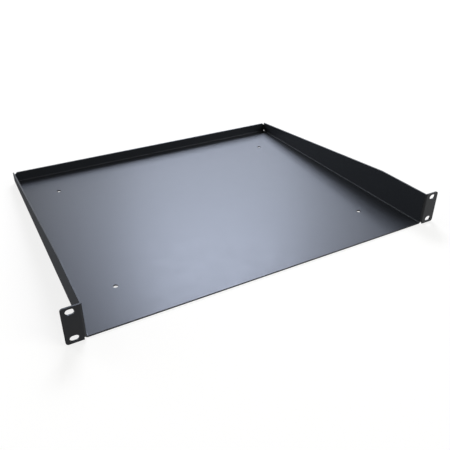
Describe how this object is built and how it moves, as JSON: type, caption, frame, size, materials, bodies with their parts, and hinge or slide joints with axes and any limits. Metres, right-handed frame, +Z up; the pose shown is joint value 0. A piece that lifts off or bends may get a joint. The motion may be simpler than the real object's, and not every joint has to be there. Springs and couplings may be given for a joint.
{
  "type": "cantilever rack shelf",
  "caption": "Front-mounted tray folded from one steel sheet, with tapered side flanges, a low rear lip and slotted mounting ears.",
  "frame": {"origin": "centre of the four ear slots, on the ears' rear faces, which bear on the rack's rails", "axes": "+X across the rack, +Y from the ears to the rear lip, +Z up"},
  "size_m": [0.4826, 0.381, 0.0435],
  "materials": {
    "black_powder_coat": "black powder coat with a fine even texture and a satin sheen"
  },
  "bodies": {
    "root": {"shelf": "black_powder_coat"}
  },
  "joints": []
}
